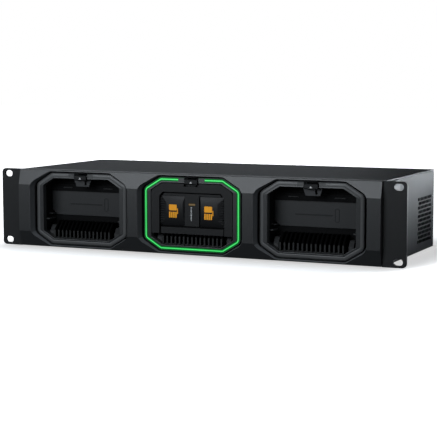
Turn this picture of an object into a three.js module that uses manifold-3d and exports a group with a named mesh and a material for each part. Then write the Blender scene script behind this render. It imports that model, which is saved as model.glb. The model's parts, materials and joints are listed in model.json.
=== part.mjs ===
// Rack-mount storage-module dock, two units high, with three octagonal bays.
// Millimetres, +Z up, the front looks along -Y. Inside the dock group, y = 0 is the front
// plane of the rack ears; the group is moved so that the origin is the bottom centre.
import * as THREE from 'three';
import { mergeVertices } from 'three/addons/utils/BufferGeometryUtils.js';
import Module from 'manifold-3d';

const wasm = await Module();
wasm.setup();

// ---- Driving dimensions -------------------------------------------------------------
const GAP = 0.3;                 // clearance between neighbouring pieces
const RACK_WIDTH = 482.6;        // over the ears
const RACK_HEIGHT = 88.1;        // two rack units
const FRONT_Y = -6;              // front face of the fascia
const REAR_Y = 189;              // rear edge of the chassis
const CHASSIS_HALF_WIDTH = 216.5;
const SHEET = 1.5;               // chassis sheet thickness
const PANEL_REAR_Y = 187;        // outer face of the rear panel

const FASCIA_HALF_WIDTH = 215.5;
const FASCIA_TOP = 88;
const FASCIA_BOTTOM = 0.4;
const FASCIA_BACK_Y = 10;
const FASCIA_WALL = 3;
const BEVEL_Y = -1.5;            // depth at which both fascia bevels end
const BEVEL_LOW_Z = 17.5;
const BEVEL_HIGH_Z = 70.7;

const BAYS = [
  { name: 'left', x: -138 },
  { name: 'center', x: 0 },
  { name: 'right', x: 138 },
];
const BAY_Z = 44;                // height of the bay centres
const RING_FRONT_Y = 1;
const RING_BACK_Y = 7.4;
const RING = { halfWidth: 58.2, halfHeight: 40.75 };
const MOUTH = { halfWidth: 49, halfHeight: 34.2 };
const GUIDE = { halfWidth: 55.4, halfHeight: 37.75 };
const GUIDE_WIDTH = 3;
const GUIDE_BREAK = 16;          // half width of the unlit stretch at the top
const RECESS = { halfWidth: 60.5, halfHeight: 41.5 };
const RECESS_FLARE = 2.3;        // how much wider the recess is at the front face
const CORNER_CUT = { x: 18.4, z: 11.15 };   // corner cut of the light guide's octagon
const CUT_GROWTH = { x: 0.721, z: 0.437 };  // how the cut grows as the octagon is offset
const CORNER_ROUND = 3;

const POCKET = { front: 9.3, wall: 21, halfWidth: 54, low: -37, high: 37.5 };
const TUNNEL = { halfWidth: 49.2, low: -9.2, high: 24.4, front: 24, end: 134, wall: 2 };
const FIN = { count: 15, pitch: 5, thickness: 1.8, front: 2.5, low: -33.6, frontTop: -24.5 };
const FIN_TIP = { y: 11, z: -14.9 };
const FIN_FLOOR = { low: -35.1, high: -32.6, front: 3.5 };
const END_BLOCK = { inner: 39, outer: 44.5, front: 8, low: -36, frontTop: -26.5, tipY: 12.5, high: -20 };
const SIDE_LEDGE = { inner: 44.5, outer: 52, height: 1.4 };
const SIDE_LEDGES = [
  { front: 6.5, low: -13.2 },
  { front: 13.5, low: -7.9 },
];

const DOOR = { halfWidth: 48.7, low: -8.7, high: 19.1, front: 20.2, back: 22.2, cornerX: 6.5, cornerZ: 5.5 };
const DOOR_HINGE = { y: 22.8, z: 21.7, knuckle: 2, eye: 2.2, bore: 1.3, pin: 1, pinHalf: 23.5 };
const DOOR_KNUCKLE_X = [12.5, 18.4];
const DOOR_EYE_X = [19, 23];
const DOOR_OPEN_ANGLE = THREE.MathUtils.degToRad(90);
const VALANCE = { halfWidth: 50.2, front: 18.4, low: 18.7, high: 26, thickness: 1.2 };

const LATCH_AXIS = { y: 6.5, z: 36.9 };
const LATCH_NOTCH = { halfWidth: 8.6, backHalfWidth: 11.4, top: 39.8, stepY: 5.3 };
const LATCH = { halfWidth: 7.7, front: -0.4, back: 2.2, low: 33.6, chamferZ: 37.6, chamferY: 0.4, high: 38.6 };
const LATCH_LIP = { low: 32.6, front: 0.2, back: 1, top: 33.9 };
const LATCH_ARM = { x: [-6, 2.5], halfHeight: 1, barrel: 1.7, bore: 1.2, pin: 0.9, pinHalf: 8 };
const LATCH_PLATE = { front: 5.8, back: 7.6, low: 25.5, lowHalf: 8, shoulder: 34, half: 11, high: 39.3 };
const LATCH_FORK = { inner: 6.5, outer: 8.2, low: 34.6, front: 4.8, back: 8.6 };
const LATCH_SLOT = { x: [2.6, 5.2], z: [27, 33] };
const SPRING = { turns: 3, stepsPerTurn: 8, radius: 1.6, wire: 0.25, x: 3.3, pitch: 0.8 };

const LED_BOARD = { inset: 0.7, thickness: 1.2, breakHalf: 12 };
const CONNECTOR_BOARD = { halfWidth: 28, front: 141, back: 142.6, low: -36.9, high: 14 };
const CONNECTOR = { halfWidth: 20, front: 134.6, low: 2, high: 11 };
const CONNECTOR_SLOT = { halfWidth: 17.5, depth: 4.9, low: 5.2, high: 8 };

const MODULE_FACE_Y = 1.2;
const MODULE_PLATE = { halfWidth: 48.5, halfHeight: 33.7, low: -21.5, back: 4.8 };
const MODULE_BOSS = { back: 8, low: -13, high: 24.6 };
const FIELD = { halfWidth: 39, high: 24, chamferX: 4.2, chamferZ: 4.5, depth: 1.4 };
const FIELD_LINE = { height: 0.6, depth: 2 };
const LATCH_BITE = { halfWidth: 9, low: 30.4 };
const STATUS = { halfWidth: 3.75, low: 10, high: 12, front: 1.1, back: 2.1 };
const MODULE_BODY = { halfWidth: 44, low: -7.5, high: 18.2, front: 8.3, back: 132, wall: 1.5 };
const PLUG_WINDOW = { halfWidth: 18, low: 5, high: 8.2 };
const MODULE_BOARD = { halfWidth: 40, front: 104, back: 130.2, low: 5.8, high: 7.4 };
const PLUG = { halfWidth: 16.5, end: 137.5 };
const CARRIER = { inner: 8.9, outer: 38.3, low: -12.4, high: 20, front: 2, edge: 4.4, back: 7.7 };
const CARRIER_SLOPE = { inner: 2, outer: 8.2, low: 7.4, high: 8 };   // how far each side leans in
const RIB = { first: -9.4, pitch: 2.55, count: 11, height: 1.1, front: 2.3 };
const TRAY = { inner: 10.8, outer: 37.1, end: 102, low: -2, high: -0.6 };
const CARD = { inner: 13, outer: 35, front: 30, high: 1.6 };

const EAR = { inner: FASCIA_HALF_WIDTH + GAP, thickness: 3, corner: 4 };
const EAR_SLOT = { x: 232.55, width: 10, height: 7, low: 5.95, high: 82.15, round: 3.3 };
const FLANGE = { inner: CHASSIS_HALF_WIDTH + GAP, thickness: 2, end: 50, halfHeight: 42 };
const BRACKET_SCREWS = { y: 26, z: [20, 68], hole: 2 };
const SCREW = { head: 3.2, headDepth: 1.6, shank: 1.5, reach: 5, socket: 1.4, socketDepth: 0.9 };

const LIP = { inner: 213.3, outer: 214.5, y0: 12, y1: 184, height: 6 };
const COVER_LOW = RACK_HEIGHT - 0.2 - SHEET;
const VENT = { y0: 124.5, y1: 178, z0: 11.2, pitch: 4.71, rows: 11, slot: 3.4 };
const INLET = { x: 69, z: 33, halfWidth: 13.2, halfHeight: 9.7, front: 168 };
const INLET_FLANGE = { halfWidth: 18, halfHeight: 12 };
const INLET_SOCKET = { halfWidth: 11.5, halfHeight: 7.5, floor: 171 };
const INLET_BLADE = { halfWidth: 1, halfHeight: 2, end: 182, at: [[-7, -2], [0, 2.5], [7, -2]] };
const PORTS = { x: -69, z: 33, halfWidth: 30, halfHeight: 7, count: 4, pitch: 14, front: 172, proud: 1.5 };
const PORT_SLOT = { halfWidth: 4.5, halfHeight: 1.6, floor: 178 };
const FAN = { y: 151.25, z: 35, half: 25, innerX: 204, outerX: 214.4, bore: 23.5 };
const FAN_HUB = { radius: 12, depth: 1.8, axle: 1.5, axleEnd: 2.4, strutWidth: 3, strutDepth: 1.6 };
const ROTOR = { radius: 11.5, start: 2.6, end: 0.8, bore: 1.8, blades: 7, reach: 16.3 };
const BLADE = { depth: 7.5, thickness: 1, length: 12.5, twist: 0.7 };
const MAIN_BOARD = { halfWidth: 196, front: 30, back: 183, low: 5, high: 6.6 };
const SUPPLY = { x: [53, 85], y: [60, 164], z: [8, 58] };
const SUPPLY_SLOT = { x: [58, 80], first: 72, pitch: 15, width: 4, count: 6, depth: 1.5 };

// ---- Materials ----------------------------------------------------------------------
const paint = (color, roughness, metalness = 0) =>
  new THREE.MeshStandardMaterial({ color, roughness, metalness });

const LOOK = {
  fascia: () => paint(0x2a2d30, 0.5),
  ring: () => paint(0x303336, 0.45),
  guideOff: () => paint(0x55595c, 0.4),
  guideLit: () => paint(0x1fd65a, 0.3),
  liner: () => paint(0x1a1c1e, 0.55),
  door: () => paint(0x222527, 0.5),
  latch: () => paint(0x2c2f31, 0.5),
  sheet: () => paint(0x17191b, 0.5, 0.3),
  bracket: () => paint(0x1b1d1f, 0.5, 0.3),
  steel: () => paint(0x9a9c9e, 0.35, 0.9),
  circuit: () => paint(0x1d4a2c, 0.6),
  moulding: () => paint(0x141516, 0.5),
  module: () => paint(0x25282a, 0.5),
  carrier: () => paint(0x2a2d2f, 0.5),
  orange: () => paint(0xd98a1e, 0.5),
  zinc: () => paint(0xb4b7b9, 0.45, 0.8),
};

// ---- Shape helpers --------------------------------------------------------------------
function solid(geometry) {
  const bare = geometry.clone();
  bare.deleteAttribute('normal');
  bare.deleteAttribute('uv');
  const merged = mergeVertices(bare, 1e-4);
  return new wasm.Manifold(new wasm.Mesh({
    numProp: 3,
    vertProperties: new Float32Array(merged.attributes.position.array),
    triVerts: new Uint32Array(merged.index.array),
  }));
}

function geometryOf(manifold) {
  const mesh = manifold.getMesh();
  const geometry = new THREE.BufferGeometry();
  geometry.setAttribute('position', new THREE.Float32BufferAttribute(mesh.vertProperties, 3));
  geometry.setIndex(new THREE.BufferAttribute(new Uint32Array(mesh.triVerts), 1));
  return geometry;
}

const join = (...pieces) => pieces.reduce((sum, piece) => sum.add(piece));
const cut = (piece, ...tools) => tools.reduce((rest, tool) => rest.subtract(tool), piece);

function box([x0, x1], [y0, y1], [z0, z1]) {
  const geometry = new THREE.BoxGeometry(x1 - x0, y1 - y0, z1 - z0);
  geometry.translate((x0 + x1) / 2, (y0 + y1) / 2, (z0 + z1) / 2);
  return solid(geometry);
}

// A closed outline whose corners are rounded over the given length.
function outline(points, round = 0) {
  const shape = new THREE.Shape();
  if (round === 0) {
    return shape.setFromPoints(points.map(([a, b]) => new THREE.Vector2(a, b)));
  }
  const corners = points.map(([a, b]) => new THREE.Vector2(a, b));
  corners.forEach((corner, i) => {
    const before = corners.at(i - 1);
    const after = corners[(i + 1) % corners.length];
    const start = corner.clone().add(before.clone().sub(corner).setLength(round));
    const end = corner.clone().add(after.clone().sub(corner).setLength(round));
    if (i === 0) {
      shape.moveTo(start.x, start.y);
    } else {
      shape.lineTo(start.x, start.y);
    }
    shape.quadraticCurveTo(corner.x, corner.y, end.x, end.y);
  });
  shape.closePath();
  return shape;
}

const PLAIN = { bevelEnabled: false, curveSegments: 2 };

// A block whose front face is smaller than its back face.
function tapered(frontFace, backFace, [y0, y1]) {
  const geometry = new THREE.BoxGeometry(1, 1, 1);
  const place = geometry.attributes.position;
  for (let i = 0; i < place.count; i += 1) {
    const atFront = place.getY(i) < 0;
    const { x, z } = atFront ? frontFace : backFace;
    place.setXYZ(i, x[place.getX(i) < 0 ? 0 : 1], atFront ? y0 : y1, z[place.getZ(i) < 0 ? 0 : 1]);
  }
  return solid(geometry);
}

// An outline in x and z, extruded along y.
function prismY(shape, [y0, y1]) {
  const geometry = new THREE.ExtrudeGeometry(shape, { ...PLAIN, depth: y1 - y0 });
  geometry.rotateX(Math.PI / 2);
  geometry.translate(0, y1, 0);
  return solid(geometry);
}

// An outline in y and z, extruded along x.
function prismX(points, [x0, x1]) {
  const geometry = new THREE.ExtrudeGeometry(outline(points), { ...PLAIN, depth: x1 - x0 });
  const axes = [new THREE.Vector3(0, 1, 0), new THREE.Vector3(0, 0, 1), new THREE.Vector3(1, 0, 0)];
  geometry.applyMatrix4(new THREE.Matrix4().makeBasis(...axes));
  geometry.translate(x0, 0, 0);
  return solid(geometry);
}

// A cylinder whose axis runs along x.
function rodX(radius, [x0, x1], y, z, sides = 12) {
  const geometry = new THREE.CylinderGeometry(radius, radius, x1 - x0, sides);
  geometry.rotateZ(Math.PI / 2);
  geometry.translate((x0 + x1) / 2, y, z);
  return solid(geometry);
}

// The bay's octagon, offset from the light guide's centreline.
function octagon({ halfWidth, halfHeight }, round = CORNER_ROUND) {
  const offset = halfWidth - GUIDE.halfWidth;
  const x = halfWidth - CORNER_CUT.x - CUT_GROWTH.x * offset;
  const z = halfHeight - CORNER_CUT.z - CUT_GROWTH.z * offset;
  return outline([
    [-halfWidth, -z], [-x, -halfHeight], [x, -halfHeight], [halfWidth, -z],
    [halfWidth, z], [x, halfHeight], [-x, halfHeight], [-halfWidth, z],
  ], round);
}

const grown = ({ halfWidth, halfHeight }, by) =>
  ({ halfWidth: halfWidth + by, halfHeight: halfHeight + by });

const both = (make) => join(make(-1), make(1));

// The same range on the side that the sign names.
const sided = (side, near, far) => (side > 0 ? [near, far] : [-far, -near]);

function named(name, piece, material) {
  const geometry = piece instanceof THREE.BufferGeometry ? piece : geometryOf(piece);
  const mesh = new THREE.Mesh(geometry, material);
  mesh.name = name;
  return mesh;
}

// ---- Chassis ------------------------------------------------------------------------
function chassisBase() {
  const floor = box([-CHASSIS_HALF_WIDTH, CHASSIS_HALF_WIDTH], [FASCIA_BACK_Y + GAP, REAR_Y], [0, SHEET]);
  const lips = both((side) =>
    box(sided(side, LIP.inner, LIP.outer), [LIP.y0, LIP.y1], [SHEET / 2, SHEET + LIP.height]));
  return join(floor, lips);
}

function topCover() {
  const sheet = box([-CHASSIS_HALF_WIDTH, CHASSIS_HALF_WIDTH], [FASCIA_BACK_Y + GAP, REAR_Y],
    [COVER_LOW, COVER_LOW + SHEET]);
  const lips = both((side) =>
    box(sided(side, LIP.inner, LIP.outer), [LIP.y0, LIP.y1], [COVER_LOW - LIP.height, COVER_LOW + SHEET / 2]));
  return join(sheet, lips);
}

function sidePanel(side) {
  const inner = CHASSIS_HALF_WIDTH - SHEET;
  const sheet = box(sided(side, inner, CHASSIS_HALF_WIDTH), [FASCIA_BACK_Y + GAP, REAR_Y],
    [SHEET + GAP, COVER_LOW - GAP]);
  const through = sided(side, inner - 1, CHASSIS_HALF_WIDTH + 1);
  const slots = Array.from({ length: VENT.rows }, (_, row) => {
    const z = VENT.z0 + row * VENT.pitch;
    const inset = (row % 2) * VENT.pitch / 2;
    return box(through, [VENT.y0 + inset, VENT.y1 - inset], [z - VENT.slot / 2, z + VENT.slot / 2]);
  });
  return cut(sheet, ...slots, ...bracketHoles(through));
}

const bracketHoles = (through) =>
  BRACKET_SCREWS.z.map((z) => rodX(BRACKET_SCREWS.hole, through, BRACKET_SCREWS.y, z, 8));

function rearPanel() {
  const inner = CHASSIS_HALF_WIDTH - SHEET - GAP;
  const sheet = box([-inner, inner], [PANEL_REAR_Y - SHEET, PANEL_REAR_Y], [SHEET + GAP, COVER_LOW - GAP]);
  const windows = [INLET, PORTS].map(({ x, z, halfWidth, halfHeight }) => box(
    [x - halfWidth - GAP, x + halfWidth + GAP], [PANEL_REAR_Y - 2 * SHEET, PANEL_REAR_Y + 1],
    [z - halfHeight - GAP, z + halfHeight + GAP]));
  return cut(sheet, ...windows);
}

function rackBracket(side) {
  const outer = RACK_WIDTH / 2;
  const { inner, thickness, corner } = EAR;
  const ear = prismY(outline([
    [side * inner, 0], [side * (outer - corner), 0], [side * outer, corner],
    [side * outer, RACK_HEIGHT - corner], [side * (outer - corner), RACK_HEIGHT],
    [side * inner, RACK_HEIGHT],
  ]), [0, thickness]);
  const middle = RACK_HEIGHT / 2;
  const flange = box(sided(side, FLANGE.inner, FLANGE.inner + FLANGE.thickness), [thickness / 2, FLANGE.end],
    [middle - FLANGE.halfHeight, middle + FLANGE.halfHeight]);
  const slots = [EAR_SLOT.low, EAR_SLOT.high].map((z) => earSlot(side * EAR_SLOT.x, z));
  const through = sided(side, FLANGE.inner - 1, FLANGE.inner + FLANGE.thickness + 1);
  return cut(join(ear, flange), ...slots, ...bracketHoles(through));
}

function earSlot(x, z) {
  const half = EAR_SLOT.width / 2;
  const up = EAR_SLOT.height / 2;
  const corners = [[x - half, z - up], [x + half, z - up], [x + half, z + up], [x - half, z + up]];
  return prismY(outline(corners, EAR_SLOT.round), [-1, EAR.thickness + 1]);
}

function bracketScrew(side, z) {
  const { head, headDepth, shank, reach, socket, socketDepth } = SCREW;
  const face = FLANGE.inner + FLANGE.thickness + GAP;
  const top = face + headDepth;
  const { y } = BRACKET_SCREWS;
  return cut(
    join(
      rodX(head, sided(side, face, top), y, z, 12),
      rodX(shank, sided(side, CHASSIS_HALF_WIDTH - reach, face + headDepth / 2), y, z, 8)),
    rodX(socket, sided(side, top - socketDepth, top + 1), y, z, 6));
}

function frontFascia() {
  const wall = FASCIA_WALL;
  const profile = [
    [BEVEL_Y, FASCIA_BOTTOM], [FASCIA_BACK_Y, FASCIA_BOTTOM], [FASCIA_BACK_Y, FASCIA_TOP],
    [BEVEL_Y, FASCIA_TOP], [FRONT_Y, BEVEL_HIGH_Z], [FRONT_Y, BEVEL_LOW_Z],
  ];
  const hollow = [
    [BEVEL_Y + wall, FASCIA_BOTTOM + wall], [FASCIA_BACK_Y + 1, FASCIA_BOTTOM + wall],
    [FASCIA_BACK_Y + 1, FASCIA_TOP - wall], [BEVEL_Y + wall, FASCIA_TOP - wall],
    [FRONT_Y + wall, BEVEL_HIGH_Z], [FRONT_Y + wall, BEVEL_LOW_Z],
  ];
  const block = prismX(profile, [-FASCIA_HALF_WIDTH, FASCIA_HALF_WIDTH]);
  const cavity = prismX(hollow, [-FASCIA_HALF_WIDTH + wall, FASCIA_HALF_WIDTH - wall]);
  const sleeves = BAYS.map(({ x }) => recess(2.5).translate([x, 0, BAY_Z]));
  const holes = BAYS.map(({ x }) => recess(0).translate([x, 0, BAY_Z]));
  const shell = join(cut(block, cavity), join(...sleeves).intersect(block));
  return cut(shell, ...holes);
}

// The recess round a bay: straight beside the ring, flaring out to the front face.
function recess(grow) {
  const back = grown(RECESS, grow);
  const straight = prismY(octagon(back), [RING_FRONT_Y - 0.01, FASCIA_BACK_Y + (grow ? 0 : 1)]);
  const flared = new THREE.ExtrudeGeometry(octagon(back), { ...PLAIN, depth: RING_FRONT_Y - FRONT_Y });
  flared.rotateX(Math.PI / 2);
  flared.translate(0, RING_FRONT_Y, 0);
  const place = flared.attributes.position;
  const wide = grown(back, RECESS_FLARE);
  for (let i = 0; i < place.count; i += 1) {
    if (place.getY(i) < RING_FRONT_Y - 1) {
      place.setX(i, place.getX(i) * wide.halfWidth / back.halfWidth);
      place.setZ(i, place.getZ(i) * wide.halfHeight / back.halfHeight);
    }
  }
  return join(straight, solid(flared));
}

// ---- Bay pieces, drawn about the bay's centre -------------------------------------------
const ABOVE = 60;                // clears the top of any bay piece

function bayRing() {
  const depth = [RING_FRONT_Y, RING_BACK_Y];
  const through = [RING_FRONT_Y - 1, RING_BACK_Y + 1];
  const plate = cut(prismY(octagon(RING), depth), prismY(octagon(MOUTH), through));
  const half = GUIDE_WIDTH / 2 + GAP;
  const grooveDepth = [RING_FRONT_Y - 1, RING_FRONT_Y + 2.5];
  const groove = cut(
    prismY(octagon(grown(GUIDE, half)), grooveDepth),
    prismY(octagon(grown(GUIDE, -half)), [RING_FRONT_Y - 2, RING_FRONT_Y + 3]),
    box([-GUIDE_BREAK + GAP, GUIDE_BREAK - GAP], [RING_FRONT_Y - 2, RING_FRONT_Y + 3], [0, ABOVE]));
  const { halfWidth, backHalfWidth, top, stepY } = LATCH_NOTCH;
  const low = MOUTH.halfHeight - 2;
  const frontNotch = box([-halfWidth, halfWidth], [RING_FRONT_Y - 1, stepY + 1], [low, top]);
  const backNotch = box([-backHalfWidth, backHalfWidth], [stepY, RING_BACK_Y + 1], [low, top]);
  return cut(plate, groove, frontNotch, backNotch);
}

function lightGuide() {
  const half = GUIDE_WIDTH / 2;
  return cut(
    prismY(octagon(grown(GUIDE, half)), [RING_FRONT_Y, RING_FRONT_Y + 2.2]),
    prismY(octagon(grown(GUIDE, -half)), [RING_FRONT_Y - 1, RING_FRONT_Y + 3]),
    box([-GUIDE_BREAK, GUIDE_BREAK], [RING_FRONT_Y - 1, RING_FRONT_Y + 3], [0, ABOVE]));
}

function ledBoard() {
  const depth = [RING_BACK_Y + GAP, RING_BACK_Y + GAP + LED_BOARD.thickness];
  const through = [RING_BACK_Y - 1, RING_BACK_Y + 3];
  return cut(
    prismY(octagon(grown(RING, -LED_BOARD.inset), 0), depth),
    prismY(octagon(grown(MOUTH, 1), 0), through),
    box([-LED_BOARD.breakHalf, LED_BOARD.breakHalf], through, [0, ABOVE]));
}

function bayPocket() {
  const { front, wall } = POCKET;
  const block = box([-POCKET.halfWidth, POCKET.halfWidth], [front, TUNNEL.front], [POCKET.low, POCKET.high])
    .intersect(prismY(octagon(grown(RING, -LED_BOARD.inset), 0), [front, TUNNEL.front]));
  const mouth = prismY(octagon(grown(MOUTH, GAP), 0), [front - 1, wall]);
  const { halfWidth, low, high } = TUNNEL;
  const sleeve = box([-halfWidth - TUNNEL.wall, halfWidth + TUNNEL.wall], [TUNNEL.front - 0.1, TUNNEL.end],
    [low - TUNNEL.wall, high + TUNNEL.wall]);
  const bore = box([-halfWidth, halfWidth], [wall - 1, TUNNEL.end + 1], [low, high]);
  const within = join(
    prismY(octagon(grown(MOUTH, -0.4), 0), [0, front + 0.5]),
    prismY(octagon(grown(MOUTH, 1), 0), [front + 0.4, wall + 0.6]));
  const inside = join(...guideFins(), both(endBlock), ...SIDE_LEDGES.map(sideLedges)).intersect(within);
  return join(cut(join(block, sleeve), mouth, bore), inside, hingeValance(), both(hingeEye));
}

// A hanging strip that hides the door's hinge.
function hingeValance() {
  const { halfWidth, front, low, high, thickness } = VALANCE;
  const across = [-halfWidth, halfWidth];
  return join(
    box(across, [front, front + thickness], [low, high]),
    box(across, [front, POCKET.wall + 0.5], [high - thickness, high]));
}

function guideFins() {
  const { count, pitch, thickness, front, low, frontTop } = FIN;
  const back = POCKET.wall + 0.5;
  const profile = [
    [front, low], [back, FIN_FLOOR.low], [back, FIN_TIP.z], [FIN_TIP.y, FIN_TIP.z], [front, frontTop],
  ];
  const reach = pitch * (count - 1) / 2;
  const floor = box([-reach, reach], [FIN_FLOOR.front, back], [FIN_FLOOR.low, FIN_FLOOR.high]);
  const fins = Array.from({ length: count }, (_, i) => {
    const x = i * pitch - reach;
    return prismX(profile, [x - thickness / 2, x + thickness / 2]);
  });
  return [floor, ...fins];
}

function endBlock(side) {
  const { inner, outer, front, low, frontTop, tipY, high } = END_BLOCK;
  const back = POCKET.wall + 0.5;
  return prismX([[front, low], [back, low], [back, high], [tipY, high], [front, frontTop]],
    sided(side, inner, outer));
}

// A pair of ledges, one on each side wall, that end just short of the door.
function sideLedges({ front, low }) {
  const { inner, outer, height } = SIDE_LEDGE;
  return both((side) => box(sided(side, inner, outer), [front, DOOR.front - GAP], [low, low + height]));
}

function hingeEye(side) {
  const across = sided(side, ...DOOR_EYE_X);
  const { y, z, eye, bore } = DOOR_HINGE;
  const body = join(rodX(eye, across, y, z), box(across, [y - eye, y + eye], [z, TUNNEL.high + 1]));
  return cut(body, rodX(bore, [-30, 30], y, z));
}

function dustDoor() {
  const { halfWidth, low, high, front, back, cornerX, cornerZ } = DOOR;
  const { y, z, knuckle, bore } = DOOR_HINGE;
  const leaf = prismY(outline([
    [cornerX - halfWidth, low], [halfWidth - cornerX, low], [halfWidth, low + cornerZ], [halfWidth, high],
    [-halfWidth, high], [-halfWidth, low + cornerZ],
  ]), [front, back]);
  const knuckles = both((side) => {
    const across = sided(side, ...DOOR_KNUCKLE_X);
    return join(rodX(knuckle, across, y, z), box(across, [front + 0.2, y], [high - 1, z]));
  });
  return cut(join(leaf, knuckles), rodX(bore, [-30, 30], y, z));
}

const doorPin = () =>
  rodX(DOOR_HINGE.pin, [-DOOR_HINGE.pinHalf, DOOR_HINGE.pinHalf], DOOR_HINGE.y, DOOR_HINGE.z, 12);

function latchLever() {
  const { y, z } = LATCH_AXIS;
  const { halfWidth, front, back, low, chamferZ, chamferY, high } = LATCH;
  const { x, halfHeight, barrel, bore } = LATCH_ARM;
  const across = [-halfWidth, halfWidth];
  const pad = prismX([
    [front, low], [back, low - 0.4], [back, high], [chamferY, high], [front, chamferZ],
  ], across);
  const lip = prismX([
    [-LATCH_LIP.front, LATCH_LIP.top], [LATCH_LIP.front, LATCH_LIP.low], [LATCH_LIP.back, LATCH_LIP.low],
    [LATCH_LIP.back, LATCH_LIP.top],
  ], across);
  const arm = box(x, [back - 0.2, y], [z - halfHeight, z + halfHeight]);
  return cut(join(pad, lip, arm, rodX(barrel, x, y, z)), rodX(bore, [-10, 10], y, z));
}

function latchBracket() {
  const { front, back, low, lowHalf, shoulder, half, high } = LATCH_PLATE;
  const fork = LATCH_FORK;
  const plate = prismY(outline([
    [-lowHalf, low], [lowHalf, low], [half, shoulder], [half, high], [fork.inner, high],
    [fork.inner, fork.low], [-fork.inner, fork.low], [-fork.inner, high], [-half, high], [-half, shoulder],
  ]), [front, back]);
  const cheeks = both((side) =>
    box(sided(side, fork.inner, fork.outer), [fork.front, fork.back], [fork.low, high]));
  const slot = box(LATCH_SLOT.x, [front - 1, back + 1], LATCH_SLOT.z);
  return cut(join(plate, cheeks), slot, rodX(LATCH_ARM.bore, [-10, 10], LATCH_AXIS.y, LATCH_AXIS.z));
}

const latchPin = () =>
  rodX(LATCH_ARM.pin, [-LATCH_ARM.pinHalf, LATCH_ARM.pinHalf], LATCH_AXIS.y, LATCH_AXIS.z, 12);

// A torsion spring wound on the latch pin.
function latchSpring() {
  const { turns, stepsPerTurn, radius, wire, x, pitch } = SPRING;
  const steps = turns * stepsPerTurn;
  const points = Array.from({ length: steps + 1 }, (_, i) => {
    const angle = 2 * Math.PI * i / stepsPerTurn;
    return new THREE.Vector3(x + pitch * i / stepsPerTurn, radius * Math.cos(angle), radius * Math.sin(angle));
  });
  const geometry = new THREE.ExtrudeGeometry(new THREE.Shape().absarc(0, 0, wire, 0, 2 * Math.PI), {
    extrudePath: new THREE.CatmullRomCurve3(points), steps, curveSegments: 3, bevelEnabled: false,
  });
  geometry.translate(0, LATCH_AXIS.y, LATCH_AXIS.z);
  return geometryOf(solid(geometry));
}

function bayConnector() {
  const { halfWidth, front, low, high } = CONNECTOR;
  const board = box([-CONNECTOR_BOARD.halfWidth, CONNECTOR_BOARD.halfWidth],
    [CONNECTOR_BOARD.front, CONNECTOR_BOARD.back], [CONNECTOR_BOARD.low, CONNECTOR_BOARD.high]);
  const socket = box([-halfWidth, halfWidth], [front, CONNECTOR_BOARD.front + 0.1], [low, high]);
  const slot = box([-CONNECTOR_SLOT.halfWidth, CONNECTOR_SLOT.halfWidth],
    [front - 1, front + CONNECTOR_SLOT.depth], [CONNECTOR_SLOT.low, CONNECTOR_SLOT.high]);
  return cut(join(board, socket), slot);
}

// ---- Storage module, drawn about the centre bay's centre ----------------------------------
function modulePlate() {
  const { low, back } = MODULE_PLATE;
  const through = [MODULE_FACE_Y - 2, MODULE_BOSS.back + 2];
  const face = cut(prismY(octagon(MODULE_PLATE), [MODULE_FACE_Y, back]), box([-60, 60], through, [-60, low]));
  const boss = box([-MODULE_BODY.halfWidth, MODULE_BODY.halfWidth], [back - 0.1, MODULE_BOSS.back],
    [MODULE_BOSS.low, MODULE_BOSS.high]);
  const windows = both((side) => box(sided(side, CARRIER.inner - GAP, CARRIER.outer + GAP), through,
    [CARRIER.low - GAP, CARRIER.high + GAP]));
  const line = box([-FIELD.halfWidth, FIELD.halfWidth], [MODULE_FACE_Y, MODULE_FACE_Y + FIELD_LINE.depth],
    [CARRIER.low - GAP - FIELD_LINE.height, CARRIER.low - GAP]);
  const statusPocket = box([-STATUS.halfWidth - 0.35, STATUS.halfWidth + 0.35],
    [MODULE_FACE_Y, MODULE_FACE_Y + STATUS.back + GAP], [STATUS.low - 0.4, STATUS.high + 0.4]);
  const bite = box([-LATCH_BITE.halfWidth, LATCH_BITE.halfWidth], through, [LATCH_BITE.low, ABOVE]);
  return cut(join(face, boss), field(), windows, line, statusPocket, bite);
}

// The sunken field of the module's front, open at the bottom.
function field() {
  const { halfWidth, high, chamferX, chamferZ, depth } = FIELD;
  const low = MODULE_PLATE.low - 1;
  return prismY(outline([
    [-halfWidth, low], [halfWidth, low], [halfWidth, high - chamferZ], [halfWidth - chamferX, high],
    [chamferX - halfWidth, high], [-halfWidth, high - chamferZ],
  ]), [MODULE_FACE_Y - 1, MODULE_FACE_Y + depth]);
}

function moduleBody() {
  const { halfWidth, low, high, front, back, wall } = MODULE_BODY;
  const outer = box([-halfWidth, halfWidth], [front, back], [low, high]);
  const inner = box([wall - halfWidth, halfWidth - wall], [front - 1, back - wall], [low + wall, high - wall]);
  const window = box([-PLUG_WINDOW.halfWidth, PLUG_WINDOW.halfWidth], [back - wall - 1, back + 1],
    [PLUG_WINDOW.low, PLUG_WINDOW.high]);
  return cut(outer, inner, window);
}

function moduleBoard() {
  const { halfWidth, front, back, low, high } = MODULE_BOARD;
  return join(
    box([-halfWidth, halfWidth], [front, back], [low, high]),
    box([-PLUG.halfWidth, PLUG.halfWidth], [back - 0.2, PLUG.end], [low, high]));
}

function cardCarrier(side) {
  const { inner, outer, low, high, front, edge, back } = CARRIER;
  const slope = CARRIER_SLOPE;
  const block = box(sided(side, inner, outer), [edge, back], [low, high]);
  const pillow = tapered(
    { x: sided(side, inner + slope.inner, outer - slope.outer), z: [low + slope.low, high - slope.high] },
    { x: sided(side, inner, outer), z: [low, high] }, [front, edge]);
  const tray = box(sided(side, TRAY.inner, TRAY.outer), [back - 0.1, TRAY.end], [TRAY.low, TRAY.high]);
  const card = box(sided(side, CARD.inner, CARD.outer), [CARD.front, TRAY.end], [TRAY.high - 0.1, CARD.high]);
  const ribs = Array.from({ length: RIB.count }, (_, i) => carrierRib(side, RIB.first + RIB.pitch * i));
  return join(block, pillow, tray, card, ...ribs);
}

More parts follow.
